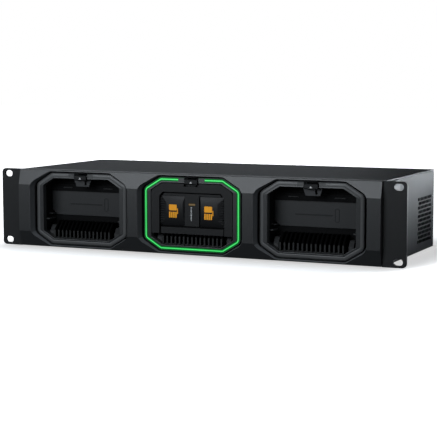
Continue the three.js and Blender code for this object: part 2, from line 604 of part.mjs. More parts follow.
// A rib on the outer slope of a card carrier, as long as the slope is at that height.
function carrierRib(side, z) {
  const { outer, low, high, edge } = CARRIER;
  const slope = CARRIER_SLOPE;
  const reach = Math.min(1, (high - z - RIB.height) / slope.high, (z - low) / slope.low);
  return box(sided(side, outer - slope.outer * reach + GAP, outer - GAP), [RIB.front, edge + 1],
    [z, z + RIB.height]);
}

const statusBar = () => box([-STATUS.halfWidth, STATUS.halfWidth],
  [MODULE_FACE_Y + STATUS.front, MODULE_FACE_Y + STATUS.back], [STATUS.low, STATUS.high]);

// ---- Inside the chassis --------------------------------------------------------------
function fanFrame(side) {
  const { y, z, half, innerX, outerX, bore } = FAN;
  const { radius, depth, axle, axleEnd, strutWidth, strutDepth } = FAN_HUB;
  const block = box(sided(side, innerX, outerX), [y - half, y + half], [z - half, z + half]);
  const tunnel = rodX(bore, sided(side, innerX - 1, outerX + 1), y, z, 24);
  const hub = rodX(radius, sided(side, innerX, innerX + depth), y, z, 16);
  const spindle = rodX(axle, sided(side, innerX, outerX - axleEnd), y, z, 8);
  const struts = [0, 1, 2].map((i) => {
    const strut = new THREE.BoxGeometry(strutDepth, strutWidth, half);
    strut.translate(0, 0, half / 2);
    strut.rotateX(i * 2 * Math.PI / 3);
    strut.translate(side * (innerX + strutDepth / 2), y, z);
    return solid(strut);
  });
  return join(cut(block, tunnel), hub, spindle, ...struts);
}

function fanRotor(side) {
  const { radius, start, end, bore, blades, reach } = ROTOR;
  const inner = FAN.innerX + start;
  const outer = FAN.outerX - end;
  const hub = rodX(radius, sided(side, inner, outer), 0, 0, 20);
  const ring = Array.from({ length: blades }, (_, i) => {
    const blade = new THREE.BoxGeometry(BLADE.depth, BLADE.thickness, BLADE.length);
    blade.rotateZ(BLADE.twist);
    blade.translate(side * (inner + outer) / 2, 0, reach);
    blade.rotateX(i * 2 * Math.PI / blades);
    return solid(blade);
  });
  const socket = rodX(bore, sided(side, FAN.innerX, outer - 1), 0, 0, 8);
  return cut(join(hub, ...ring), socket);
}

const mainBoard = () => box([-MAIN_BOARD.halfWidth, MAIN_BOARD.halfWidth], [MAIN_BOARD.front, MAIN_BOARD.back],
  [MAIN_BOARD.low, MAIN_BOARD.high]);

function powerSupply() {
  const { x, first, pitch, width, count, depth } = SUPPLY_SLOT;
  const top = SUPPLY.z[1];
  const slots = Array.from({ length: count }, (_, i) => {
    const y = first + pitch * i;
    return box(x, [y, y + width], [top - depth, top + 1]);
  });
  return cut(box(SUPPLY.x, SUPPLY.y, SUPPLY.z), ...slots);
}

function powerInlet() {
  const { x, z, halfWidth, halfHeight, front } = INLET;
  const face = PANEL_REAR_Y + GAP;
  const socket = INLET_SOCKET;
  const blade = INLET_BLADE;
  const body = box([x - halfWidth, x + halfWidth], [front, face + 0.1], [z - halfHeight, z + halfHeight]);
  const flange = box([x - INLET_FLANGE.halfWidth, x + INLET_FLANGE.halfWidth], [face, REAR_Y],
    [z - INLET_FLANGE.halfHeight, z + INLET_FLANGE.halfHeight]);
  const cavity = box([x - socket.halfWidth, x + socket.halfWidth], [socket.floor, REAR_Y + 1],
    [z - socket.halfHeight, z + socket.halfHeight]);
  const blades = blade.at.map(([dx, dz]) => box(
    [x + dx - blade.halfWidth, x + dx + blade.halfWidth], [socket.floor - 0.5, blade.end],
    [z + dz - blade.halfHeight, z + dz + blade.halfHeight]));
  return join(cut(join(body, flange), cavity), ...blades);
}

function dataPorts() {
  const { x, z, halfWidth, halfHeight, count, pitch, front, proud } = PORTS;
  const body = box([x - halfWidth, x + halfWidth], [front, PANEL_REAR_Y + proud],
    [z - halfHeight, z + halfHeight]);
  const slots = Array.from({ length: count }, (_, i) => {
    const at = x + pitch * (i - (count - 1) / 2);
    return box([at - PORT_SLOT.halfWidth, at + PORT_SLOT.halfWidth], [PORT_SLOT.floor, REAR_Y],
      [z - PORT_SLOT.halfHeight, z + PORT_SLOT.halfHeight]);
  });
  return cut(body, ...slots);
}

// ---- Assembly -----------------------------------------------------------------------
const SIDES = [{ name: 'left', side: -1 }, { name: 'right', side: 1 }];

function chassis() {
  const group = new THREE.Group();
  group.add(named('chassis_base', chassisBase(), LOOK.sheet()));
  group.add(named('top_cover', topCover(), LOOK.sheet()));
  group.add(named('rear_panel', rearPanel(), LOOK.sheet()));
  group.add(named('front_fascia', frontFascia(), LOOK.fascia()));
  group.add(named('main_board', mainBoard(), LOOK.circuit()));
  group.add(named('power_supply', powerSupply(), LOOK.zinc()));
  group.add(named('power_inlet', powerInlet(), LOOK.moulding()));
  group.add(named('data_port_block', dataPorts(), LOOK.zinc()));
  SIDES.forEach(({ name, side }) => {
    group.add(named(`side_panel_${name}`, sidePanel(side), LOOK.sheet()));
    group.add(named(`rack_bracket_${name}`, rackBracket(side), LOOK.bracket()));
    BRACKET_SCREWS.z.forEach((z, i) => {
      const height = i === 0 ? 'lower' : 'upper';
      group.add(named(`bracket_screw_${name}_${height}`, bracketScrew(side, z), LOOK.steel()));
    });
    group.add(named(`fan_frame_${name}`, fanFrame(side), LOOK.moulding()));
    const rotor = named(`fan_rotor_${name}`, fanRotor(side), LOOK.moulding());
    rotor.position.set(0, FAN.y, FAN.z);
    group.add(rotor);
  });
  return group;
}

function bay({ name, x }) {
  const group = new THREE.Group();
  group.position.set(x, 0, BAY_Z);
  const occupied = name === 'center';
  group.add(named(`bay_ring_${name}`, bayRing(), LOOK.ring()));
  group.add(named(`light_guide_${name}`, lightGuide(), occupied ? LOOK.guideLit() : LOOK.guideOff()));
  group.add(named(`led_board_${name}`, ledBoard(), LOOK.circuit()));
  group.add(named(`bay_pocket_${name}`, bayPocket(), LOOK.liner()));
  group.add(named(`door_pin_${name}`, doorPin(), LOOK.steel()));
  group.add(named(`latch_lever_${name}`, latchLever(), LOOK.latch()));
  group.add(named(`latch_bracket_${name}`, latchBracket(), LOOK.latch()));
  group.add(named(`latch_pin_${name}`, latchPin(), LOOK.steel()));
  group.add(named(`latch_spring_${name}`, latchSpring(), LOOK.steel()));
  group.add(named(`bay_connector_${name}`, bayConnector(), LOOK.circuit()));
  group.add(hungDoor(name, occupied ? DOOR_OPEN_ANGLE : 0));
  if (occupied) {
    group.add(storageModule());
  }
  return group;
}

// A dust door turned about its pin by the given angle.
function hungDoor(name, angle) {
  const hinge = new THREE.Group();
  hinge.position.set(0, DOOR_HINGE.y, DOOR_HINGE.z);
  hinge.rotation.x = angle;
  const door = named(`dust_door_${name}`, dustDoor(), LOOK.door());
  door.position.set(0, -DOOR_HINGE.y, -DOOR_HINGE.z);
  hinge.add(door);
  return hinge;
}

function storageModule() {
  const group = new THREE.Group();
  group.add(named('module_front_plate', modulePlate(), LOOK.module()));
  group.add(named('module_body', moduleBody(), LOOK.zinc()));
  group.add(named('module_board', moduleBoard(), LOOK.circuit()));
  group.add(named('module_status_bar', statusBar(), LOOK.orange()));
  SIDES.forEach(({ name, side }) => {
    group.add(named(`card_carrier_${name}`, cardCarrier(side), LOOK.carrier()));
  });
  return group;
}

const dock = new THREE.Group();
dock.name = 'storage_module_dock';
dock.position.y = -(FRONT_Y + REAR_Y) / 2;
dock.add(chassis());
BAYS.forEach((place) => dock.add(bay(place)));

export default dock;
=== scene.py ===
import json
import math

import bmesh
import bpy
from mathutils import Matrix, Vector


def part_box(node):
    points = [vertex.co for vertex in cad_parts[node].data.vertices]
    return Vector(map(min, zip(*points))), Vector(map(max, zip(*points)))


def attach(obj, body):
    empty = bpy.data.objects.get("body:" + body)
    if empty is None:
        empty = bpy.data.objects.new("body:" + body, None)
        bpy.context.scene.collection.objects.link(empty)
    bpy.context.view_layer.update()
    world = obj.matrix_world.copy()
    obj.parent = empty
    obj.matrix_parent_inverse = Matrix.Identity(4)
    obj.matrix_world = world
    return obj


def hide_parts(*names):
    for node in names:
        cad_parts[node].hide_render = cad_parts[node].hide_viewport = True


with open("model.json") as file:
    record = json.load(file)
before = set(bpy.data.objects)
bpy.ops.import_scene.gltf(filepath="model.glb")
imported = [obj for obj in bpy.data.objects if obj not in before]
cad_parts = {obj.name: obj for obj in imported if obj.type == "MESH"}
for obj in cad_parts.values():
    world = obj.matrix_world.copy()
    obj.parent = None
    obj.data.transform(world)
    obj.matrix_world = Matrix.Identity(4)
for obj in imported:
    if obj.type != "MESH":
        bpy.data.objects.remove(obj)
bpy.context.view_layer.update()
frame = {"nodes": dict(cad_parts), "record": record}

MM = 0.001
EAR_Y = -0.0975 + 6 * MM          # front plane of the rack ears, behind the fascia's face
BAYS = {"left": -138 * MM, "center": 0.0, "right": 138 * MM}
BAY_Z = 44 * MM                   # height of the bays' centres
OCCUPIED = "center"
BEHAVIOUR = frame["record"]["behaviour"]
BODY_OF = {node: body for body, nodes in BEHAVIOUR["bodies"].items() for node in nodes}
JOINT_AT = {joint["name"]: joint["pos_m"] for joint in BEHAVIOUR["joints"] if "pos_m" in joint}
SLOT_OF = {part["node"]: part["material_slot"] for part in frame["record"]["subparts"]}


# ---- Camera, light and floor ----------------------------------------------------------
CAMERA = {"at": (0.6214, -1.3739, 0.1935), "yaw": -24.65, "pitch": -6.14, "lens": 109.2, "sensor": 36,
          "clip": (0.05, 30)}


def set_camera():
    """A long lens that looks from the front right, a little above."""
    yaw, pitch = math.radians(CAMERA["yaw"]), math.radians(CAMERA["pitch"])
    forward = Vector((math.sin(yaw) * math.cos(pitch), math.cos(yaw) * math.cos(pitch), math.sin(pitch)))
    data = bpy.data.cameras.new("camera")
    data.lens = CAMERA["lens"]
    data.sensor_width = CAMERA["sensor"]
    data.clip_start, data.clip_end = CAMERA["clip"]
    camera = bpy.data.objects.new("camera", data)
    camera.location = CAMERA["at"]
    camera.rotation_euler = forward.to_track_quat("-Z", "Y").to_euler()
    bpy.context.scene.collection.objects.link(camera)
    bpy.context.scene.camera = camera


# A soft light: where it stands, what it faces, its two sides in metres, how wide it spreads
# in degrees, and its radiance.
LIGHTS = {
    "front_softbox": ((-0.62, -1.80, 0.80), (0, -0.09, 0.06), (1.3, 0.55), 180, 6.5),
    "front_low": ((-0.52, -1.10, 0.24), (0, -0.09, 0.05), (1.1, 0.30), 180, 1.9),
    "side_glow": ((0.60, 0.62, 0.13), (0.2165, 0.02, 0.13), (0.9, 0.06), 25, 4.0),
    "back_glow": ((-0.9, 1.5, 0.5), (0, 0, 0.085), (1.2, 0.5), 180, 0.65),
    "right_fill": ((1.5, -1.1, 0.35), (0.1, -0.09, 0.04), (0.8, 0.6), 180, 3.4),
    "rear_low": ((-0.4, 1.60, 0.045), (-0.1, 0.09, 0.045), (1.6, 0.07), 180, 6.0),
    "right_low": ((1.6, 0.10, 0.045), (0.22, 0.03, 0.045), (0.9, 0.07), 180, 6.0),
    "left_low": ((-1.6, 0.10, 0.045), (-0.22, 0.03, 0.045), (0.9, 0.07), 180, 6.0),
    "overhead": ((-0.2, -0.2, 1.6), (0, 0, 0.05), (1.8, 1.2), 180, 0.1),
}
LIGHT_TINT = (0.94, 1.0, 1.06)
SKY_TOWARDS = (-0.3, -0.6, 0.74)  # the direction in which the studio is brightest
SKY = (0.02, 0.3)                 # its radiance away from there, and there


def area_light(name, at, target, size, spread, radiance):
    """A soft rectangular light that is not itself in view."""
    data = bpy.data.lights.new(name, "AREA")
    data.shape = "RECTANGLE"
    data.size, data.size_y = size
    data.spread = math.radians(spread)
    data.energy = radiance * math.pi * size[0] * size[1]
    data.color = LIGHT_TINT
    light = bpy.data.objects.new(name, data)
    light.location = at
    light.rotation_euler = (Vector(target) - Vector(at)).to_track_quat("-Z", "Y").to_euler()
    light.visible_camera = False
    bpy.context.scene.collection.objects.link(light)


def ramp(tree, value, span, ends, smooth=False):
    """Maps a value from one span to another."""
    node = tree.nodes.new("ShaderNodeMapRange")
    if smooth:
        node.interpolation_type = "SMOOTHSTEP"
    node.inputs["From Min"].default_value, node.inputs["From Max"].default_value = span
    node.inputs["To Min"].default_value, node.inputs["To Max"].default_value = ends
    tree.links.new(value, node.inputs["Value"])
    return node.outputs["Result"]


def vector_step(tree, operation, value, operand=None):
    """One step of vector arithmetic on a value."""
    node = tree.nodes.new("ShaderNodeVectorMath")
    node.operation = operation
    if operand:
        node.inputs[1].default_value = operand
    tree.links.new(value, node.inputs[0])
    return node.outputs["Value" if operation in ("LENGTH", "DOT_PRODUCT") else "Vector"]


def set_world():
    """A white backdrop that lights the object as a soft gradient."""
    world = bpy.data.worlds.new("studio")
    bpy.context.scene.world = world
    world.use_nodes = True
    tree = world.node_tree
    sky = tree.nodes["Background"]
    white = tree.nodes.new("ShaderNodeBackground")
    white.inputs["Color"].default_value = (1, 1, 1, 1)
    white.inputs["Strength"].default_value = 1.0
    coords = tree.nodes.new("ShaderNodeTexCoord").outputs["Generated"]
    towards = vector_step(tree, "DOT_PRODUCT", coords, Vector(SKY_TOWARDS).normalized())
    tree.links.new(ramp(tree, towards, (0, 1), SKY, smooth=True), sky.inputs["Strength"])
    path = tree.nodes.new("ShaderNodeLightPath")
    mix = tree.nodes.new("ShaderNodeMixShader")
    tree.links.new(path.outputs["Is Camera Ray"], mix.inputs["Fac"])
    tree.links.new(sky.outputs["Background"], mix.inputs[1])
    tree.links.new(white.outputs["Background"], mix.inputs[2])
    tree.links.new(mix.outputs["Shader"], tree.nodes["World Output"].inputs["Surface"])


def set_lights():
    """The backdrop and every soft light."""
    set_world()
    for name, setting in LIGHTS.items():
        area_light(name, *setting)
    bpy.context.scene.view_settings.view_transform = "Standard"


FLOOR_REACH = 6.0                 # half the floor's side
FLOOR_GAIN = 3.0                  # the floor is lit this many times over, so that only deep shadow shows
FLOOR_GLOW = (0.36, 1.0)          # how far shadows may darken the floor: beside the object, and further off
FLOOR_FADE = (0.235, 0.285)       # distances from the middle between which that changes
FOOTPRINT = (0.2165, 0.0975, 0)   # half the housing's width and depth
# Painted contact shadow: the floor darkened by distance from the housing, not by light.
PAINTED_CONTACT_SHADOW = 0.62              # the floor's brightness where it meets the housing
CONTACT_REACH = 0.058             # distance from the housing at which that is gone


def floor_material():
    """White that takes a faint shadow, with a painted contact shadow that darkens it by distance where it
    meets the housing.
    """
    material = bpy.data.materials.new("floor")
    material.use_nodes = True
    tree = material.node_tree
    coords = tree.nodes.new("ShaderNodeTexCoord").outputs["Object"]
    diffuse = tree.nodes.new("ShaderNodeBsdfDiffuse")
    diffuse.inputs["Color"].default_value = (FLOOR_GAIN, FLOOR_GAIN, FLOOR_GAIN, 1)
    glow = tree.nodes.new("ShaderNodeEmission")
    distance = vector_step(tree, "LENGTH", coords)
    tree.links.new(ramp(tree, distance, FLOOR_FADE, FLOOR_GLOW, smooth=True), glow.inputs["Strength"])
    lit = tree.nodes.new("ShaderNodeAddShader")
    tree.links.new(diffuse.outputs["BSDF"], lit.inputs[0])
    tree.links.new(glow.outputs["Emission"], lit.inputs[1])
    painted_shadow = tree.nodes.new("ShaderNodeEmission")
    painted_shadow.inputs["Strength"].default_value = PAINTED_CONTACT_SHADOW
    outside = vector_step(tree, "SUBTRACT", vector_step(tree, "ABSOLUTE", coords), FOOTPRINT)
    gap = vector_step(tree, "LENGTH", vector_step(tree, "MAXIMUM", outside, (0, 0, 0)))
    mixed = tree.nodes.new("ShaderNodeMixShader")
    tree.links.new(ramp(tree, gap, (0, CONTACT_REACH), (1, 0)), mixed.inputs["Fac"])
    tree.links.new(lit.outputs["Shader"], mixed.inputs[1])
    tree.links.new(painted_shadow.outputs["Emission"], mixed.inputs[2])
    tree.links.new(mixed.outputs["Shader"], tree.nodes["Material Output"].inputs["Surface"])
    return material


def set_floor():
    """A plain white floor that throws no light back at the object."""
    mesh = bpy.data.meshes.new("floor")
    square = corners((-FLOOR_REACH, -FLOOR_REACH), (FLOOR_REACH, FLOOR_REACH))
    mesh.from_pydata([(x, y, 0) for x, y in square], [], [(0, 1, 2, 3)])
    mesh.materials.append(floor_material())
    floor = bpy.data.objects.new("floor", mesh)
    bpy.context.scene.collection.objects.link(floor)
    floor.visible_diffuse = False
    floor.visible_glossy = False


# ---- Materials --------------------------------------------------------------------------
class Nodes:
    """A small helper to build a node material around one Principled shader."""

    def __init__(self, name):
        self.material = bpy.data.materials.new(name)
        self.material.use_nodes = True
        self.tree = self.material.node_tree
        self.shader = self.tree.nodes["Principled BSDF"]
        self.coords = self.add("ShaderNodeTexCoord").outputs["Object"]

    def add(self, kind, **settings):
        """A new node of a kind."""
        node = self.tree.nodes.new(kind)
        for key, value in settings.items():
            setattr(node, key, value)
        return node

    def link(self, out, to):
        """Joins an output to an input."""
        self.tree.links.new(out, to)

    def set(self, **values):
        """Gives the shader's inputs plain values."""
        for key, value in values.items():
            self.shader.inputs[key.replace("_", " ")].default_value = value

    def noise(self, scale, detail=3.0, roughness=0.5, stretch=None):
        """A noise over the object, drawn out along an axis if stretch says so."""
        node = self.add("ShaderNodeTexNoise")
        node.inputs["Scale"].default_value = scale
        node.inputs["Detail"].default_value = detail
        node.inputs["Roughness"].default_value = roughness
        source = self.coords
        if stretch:
            mapping = self.add("ShaderNodeMapping")
            mapping.inputs["Scale"].default_value = stretch
            self.link(self.coords, mapping.inputs["Vector"])
            source = mapping.outputs["Vector"]
        self.link(source, node.inputs["Vector"])
        return node.outputs["Fac"]

    def span(self, value, low, high, start=0.3, end=0.7):
        """Maps a noise's useful middle to a span of values."""
        node = self.add("ShaderNodeMapRange")
        node.inputs["From Min"].default_value = start
        node.inputs["From Max"].default_value = end
        node.inputs["To Min"].default_value = low
        node.inputs["To Max"].default_value = high
        self.link(value, node.inputs["Value"])
        return node.outputs["Result"]

    def tint(self, value, dark, light):
        """Mixes the base colour between two, by a value."""
        node = self.add("ShaderNodeMix", data_type="RGBA")
        node.inputs["A"].default_value = (*dark, 1)
        node.inputs["B"].default_value = (*light, 1)
        self.link(value, node.inputs["Factor"])
        self.link(node.outputs["Result"], self.shader.inputs["Base Color"])

    def bump(self, value, depth, strength=1.0):
        """Roughens the surface by a value."""
        node = self.add("ShaderNodeBump")
        node.inputs["Distance"].default_value = depth
        node.inputs["Strength"].default_value = strength
        self.link(value, node.inputs["Height"])
        self.link(node.outputs["Normal"], self.shader.inputs["Normal"])


def shaded(color, by):
    """The colour, made lighter or darker."""
    return tuple(max(0.0, channel * by) for channel in color)


def coated(name, color, roughness, specular=0.3, grain=2600, depth=0.00002, glow=0.0):
    """Powder coat or fine moulded texture: a small grain, and a slow drift of tone."""
    nodes = Nodes(name)
    drift = nodes.noise(9, 2)
    nodes.tint(nodes.span(drift, 0, 1), shaded(color, 0.92), shaded(color, 1.08))
    fine = nodes.noise(grain, 2, 0.6)
    nodes.link(nodes.span(fine, roughness - 0.05, roughness + 0.05), nodes.shader.inputs["Roughness"])
    nodes.bump(fine, depth, 0.6)
    nodes.set(Metallic=0.0, Specular_IOR_Level=specular)
    # Painted light: an emission in the surface's own colour, though it is no lamp.
    if glow:
        nodes.set(Emission_Color=(*color, 1), Emission_Strength=glow)
    return nodes.material


def brushed(name, color, roughness):
    """Plated or bare metal with a brushed grain."""
    nodes = Nodes(name)
    lines = nodes.noise(60, 4, 0.6, stretch=(1, 60, 60))
    nodes.tint(nodes.span(lines, 0, 1), shaded(color, 0.85), shaded(color, 1.1))
    nodes.link(nodes.span(lines, roughness - 0.08, roughness + 0.08), nodes.shader.inputs["Roughness"])
    nodes.bump(lines, 0.00001, 0.5)
    nodes.set(Metallic=1.0)
    return nodes.material


def circuit(name):
    """Solder mask with darker traces under it."""
    nodes = Nodes(name)
    bricks = nodes.add("ShaderNodeTexBrick")
    bricks.inputs["Scale"].default_value = 90
    bricks.inputs["Color1"].default_value = (0.01, 0.05, 0.02, 1)
    bricks.inputs["Color2"].default_value = (0.012, 0.06, 0.026, 1)
    bricks.inputs["Mortar"].default_value = (0.02, 0.09, 0.04, 1)
    nodes.link(nodes.coords, bricks.inputs["Vector"])
    nodes.link(bricks.outputs["Color"], nodes.shader.inputs["Base Color"])
    nodes.bump(bricks.outputs["Fac"], 0.00003)
    nodes.set(Roughness=0.35)
    return nodes.material


def glowing(name, color, strength, specular=0.3):
    """A glowing plastic, a little uneven along its length: a light guide's lit plastic, and the painted
    glow that stands in for its light on the ring beside it.
    """
    nodes = Nodes(name)
    drift = nodes.noise(40, 2)
    nodes.tint(nodes.span(drift, 0, 1), shaded(color, 0.5), shaded(color, 0.6))
    uneven = nodes.span(drift, strength * 0.94, strength * 1.06)
    nodes.link(uneven, nodes.shader.inputs["Emission Strength"])
    nodes.set(Emission_Color=(*color, 1), Roughness=0.4, Specular_IOR_Level=specular)
    return nodes.material


SMOOTH, PRINTED = 0.000005, 0.000004   # depths of a fine grain, in metres
MATERIALS = {
    "chassis_sheet": coated("sheet_coat", (0.022, 0.0235, 0.026), 0.50, 0.12),
    "fascia_coat": coated("fascia_coat", (0.0185, 0.0197, 0.0209), 0.38, 0.5),
    "bracket_coat": coated("bracket_coat", (0.0125, 0.0130, 0.0138), 0.42, 0.3),
    "ring_plastic": coated("ring_plastic", (0.0270, 0.0285, 0.0295), 0.38, 0.45),
    "guide_off": coated("guide_off", (0.085, 0.087, 0.088), 0.35, 0.45, 4000, SMOOTH),
    "guide_lit": glowing("guide_core", (0.060, 0.70, 0.145), 0.95),
    "guide_edge": glowing("guide_edge", (0.001, 0.13, 0.018), 0.9, 0.02),
    "liner_plastic": coated("liner_plastic", (0.0035, 0.0037, 0.0040), 0.55, 0.06),
    "door_plastic": coated("door_plastic", (0.0205, 0.0216, 0.0228), 0.42, 0.35),
    "latch_plastic": coated("latch_plastic", (0.0085, 0.0089, 0.0100), 0.42, 0.25),
    "module_plastic": coated("module_plastic", (0.0078, 0.0084, 0.0092), 0.42, 0.3),
    "carrier_plastic": coated("carrier_plastic", (0.0090, 0.0095, 0.0104), 0.44, 0.22),
    "status_orange": glowing("status_light", (0.24, 0.16, 0.07), 0.30),
    "board": circuit("circuit_board"),
    "dark_moulding": coated("dark_moulding", (0.004, 0.004, 0.0042), 0.6, 0.1),
    "steel": brushed("plated_steel", (0.42, 0.42, 0.43), 0.35),
    "plain_metal": brushed("bare_sheet", (0.55, 0.56, 0.57), 0.4),
}
# Painted light and shade on the pocket's fins: their front faces get this lighter coat as if lit, and their
# other faces the near-black painted shade.
FIN_FRONT_PAINTED_LIGHT = coated("fin_front_painted_light", (0.0130, 0.0137, 0.0140), 0.32, 0.5, 4000, SMOOTH)
LEDGE = coated("ledge_plastic", (0.024, 0.025, 0.026), 0.42, 0.4)
# Painted light: lighter copies of the fascia's coat for the recess walls and, lighter still, their upward
# faces, standing in for light that falls there.
RECESS_PAINTED_LIGHT = coated("recess_painted_light", (0.065, 0.069, 0.073), 0.40, 0.5)
LIP_PAINTED_LIGHT = coated("lip_painted_light", (0.120, 0.126, 0.132), 0.36, 0.5)
LATCH_FRAME = coated("latch_frame", (0.0330, 0.0342, 0.0365), 0.40, 0.35)
# Painted light: a glow on the ring's faces beside the lit guide, standing in for the light the guide throws
# on them.
GUIDE_LIGHT_PAINTED_ON_RING = glowing("ring_painted_guide_light", (0.012, 0.050, 0.022), 0.7, 0.1)
# Painted shade: near black for hole walls, groove faces and fin sides, where shade falls.
PAINTED_SHADE_BLACK = coated("painted_shade_black", (0.0015, 0.0015, 0.0016), 0.7, 0.05)
# Orange print with a painted glow that makes it brighter than light alone would.
ORANGE_PRINT_PAINTED_GLOW = coated("orange_print_painted_glow", (0.95, 0.40, 0.020), 0.5, 0.25, 3000, PRINTED, glow=0.11)
MARK_WHITE = coated("mark_white", (0.75, 0.75, 0.74), 0.5, 0.3, 3000, PRINTED)
MARK_PALE = coated("mark_pale", (0.62, 0.63, 0.64), 0.5, 0.3, 3000, PRINTED)
# Painted shade: the door's moulded mark coloured dark, standing in for the shade along its raised edges.
DOOR_MARK_PAINTED_SHADE = coated("door_mark_painted_shade", (0.0065, 0.0070, 0.0078), 0.42, 0.3, 3000, PRINTED)


# ---- Mesh helpers -------------------------------------------------------------------------
def new_piece(name, bm, material, body, replaces=(), slot=None):
    """Turns a bmesh into a finished piece that rides on a body."""
    bmesh.ops.recalc_face_normals(bm, faces=bm.faces)
    mesh = bpy.data.meshes.new(name)
    bm.to_mesh(mesh)
    bm.free()
    mesh.shade_smooth()
    piece = bpy.data.objects.new(name, mesh)
    bpy.context.scene.collection.objects.link(piece)
    materials = material if isinstance(material, (list, tuple)) else [material]
    for item in materials:
        mesh.materials.append(item)
    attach(piece, body)
    if replaces:
        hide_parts(*replaces)
    return piece


EDGE_ANGLE = 32                   # edges sharper than this many degrees are rounded


def bevel(piece, width, segments=2):
    """Rounds the sharper edges, and keeps the large flat faces flat in shading."""
    modifier = piece.modifiers.new("edges", "BEVEL")
    modifier.width = width
    modifier.segments = segments
    modifier.limit_method = "ANGLE"
    modifier.angle_limit = math.radians(EDGE_ANGLE)
    modifier.miter_outer = "MITER_ARC"
    normals = piece.modifiers.new("normals", "WEIGHTED_NORMAL")
    normals.weight = 100
    normals.keep_sharp = True
    return piece


WELD = 2e-6                       # vertices closer than this are one, in metres
FLAT = 0.4                        # faces within this many degrees are merged


def clean_copy(node):
    """The CAD node's solid with its flat triangles merged into whole faces."""
    bm = bmesh.new()
    bm.from_mesh(frame["nodes"][node].data)
    bmesh.ops.remove_doubles(bm, verts=bm.verts, dist=WELD)
    bmesh.ops.dissolve_limit(bm, angle_limit=math.radians(FLAT), verts=bm.verts, edges=bm.edges)
    return bm


def refined(node, width, looks=None, pick=None):
    """A finer piece for a CAD node: the same solid with its edges rounded."""
    slot = SLOT_OF[node]
    bm = clean_copy(node)
    if pick:
        for face in bm.faces:
            face.material_index = pick(face)
    piece = new_piece(f"{node}_fine", bm, looks or MATERIALS[slot], BODY_OF[node], [node], slot)
    return bevel(piece, width)


def add_box(bm, x, y, z):
    """A box between two values on each axis."""
    verts = [bm.verts.new((x[i], y[j], z[k])) for i in (0, 1) for j in (0, 1) for k in (0, 1)]
    for face in ((0, 1, 3, 2), (4, 6, 7, 5), (0, 4, 5, 1), (2, 3, 7, 6), (0, 2, 6, 4), (1, 5, 7, 3)):
        bm.faces.new([verts[i] for i in face])


def add_prism_y(bm, points, y0, y1):
    """A solid with an outline in x and z, between two depths."""
    front = [bm.verts.new((x, y0, z)) for x, z in points]
    back = [bm.verts.new((x, y1, z)) for x, z in points]
    bm.faces.new(front)
    bm.faces.new(back[::-1])
    for i in range(len(points)):
        j = (i + 1) % len(points)
        bm.faces.new((front[i], back[i], back[j], front[j]))


def corners(low, high):
    """The four corners of a rectangle, anticlockwise from its low left one."""
    return [(low[0], low[1]), (high[0], low[1]), (high[0], high[1]), (low[0], high[1])]


def rounded(points, radius, steps=4):
    """The outline with each corner replaced by an arc of the given radius."""
    out = []
    for i, here in enumerate(points):
        corner = Vector(here)
        to_prev = (Vector(points[i - 1]) - corner).normalized()
        to_next = (Vector(points[(i + 1) % len(points)]) - corner).normalized()
        half = to_prev.angle(to_next) / 2
        reach = radius / math.tan(half)
        centre = corner + (to_prev + to_next).normalized() * (radius / math.sin(half))
        start = corner + to_prev * reach - centre
        end = corner + to_next * reach - centre
        sweep = start.angle_signed(end)
        for step in range(steps + 1):
            turned = start.copy()
            turned.rotate(Matrix.Rotation(-sweep * step / steps, 2))
            out.append(tuple(centre + turned))
    return out


def oblong(a, b, long, tall, radius, steps=4):
    """A rectangle about a point, with its corners rounded."""
    return rounded(corners((a - long / 2, b - tall / 2), (a + long / 2, b + tall / 2)), radius, steps)


def box_cutter(x, y, z):
    """A box by itself, for cutting."""
    bm = bmesh.new()
    add_box(bm, x, y, z)
    return bm


def combine(piece, tool_bm, operation):
    """Cuts a closed bmesh out of a piece, or joins it on, and keeps the result as the piece's mesh."""
    bmesh.ops.recalc_face_normals(tool_bm, faces=tool_bm.faces)
    mesh = bpy.data.meshes.new("tool")
    tool_bm.to_mesh(mesh)
    tool_bm.free()
    tool = bpy.data.objects.new("tool", mesh)
    bpy.context.scene.collection.objects.link(tool)
    modifier = piece.modifiers.new("tool", "BOOLEAN")
    modifier.operation = operation
    modifier.solver = "EXACT"
    modifier.object = tool
    graph = bpy.context.evaluated_depsgraph_get()
    result = bpy.data.meshes.new_from_object(piece.evaluated_get(graph))
    piece.modifiers.remove(modifier)
    piece.data = result
    bpy.data.objects.remove(tool)
    return piece


def carve(piece, tool_bm):
    """Cuts a shape out of a piece."""
    return combine(piece, tool_bm, "DIFFERENCE")


def unite(piece, tool_bm):
    """Joins a shape on to a piece."""
    return combine(piece, tool_bm, "UNION")


# ---- The octagon that every bay is built on --------------------------------------------------
GUIDE = (55.4, 37.75)             # half width and half height of the light guide's centreline
CORNER_CUT = (18.4, 11.15)        # how much each of its corners cuts off
CUT_GROWTH = (0.721, 0.437)       # how that grows as the octagon does
GUIDE_ROUND, LEAST_ROUND = 4.5, 0.8


def octagon(half_width, half_height, steps=5):
    """The bay's octagon in mm about the bay's centre, with rounded corners."""
    offset = half_width - GUIDE[0]
    x = half_width - CORNER_CUT[0] - CUT_GROWTH[0] * offset
    z = half_height - CORNER_CUT[1] - CUT_GROWTH[1] * offset
    radius = max(LEAST_ROUND, GUIDE_ROUND + offset)
    return rounded([(-half_width, -z), (-x, -half_height), (x, -half_height), (half_width, -z),
                    (half_width, z), (x, half_height), (-x, half_height), (-half_width, z)],
                   radius, steps)


def add_loops(bm, centre_x, loops, closed=True):
    """Skins rings of equal length, each an outline in mm with its depth from the ear plane in mm."""
    rows = [[bm.verts.new((centre_x + x * MM, EAR_Y + y * MM, BAY_Z + z * MM)) for x, z in points]
            for points, y in loops]
    pairs = list(zip(rows, rows[1:] + rows[:1])) if closed else list(zip(rows, rows[1:]))
    faces = []
    for first, second in pairs:
        for i in range(len(first)):
            j = (i + 1) % len(first)
            faces.append(bm.faces.new((first[i], first[j], second[j], second[i])))
    return faces


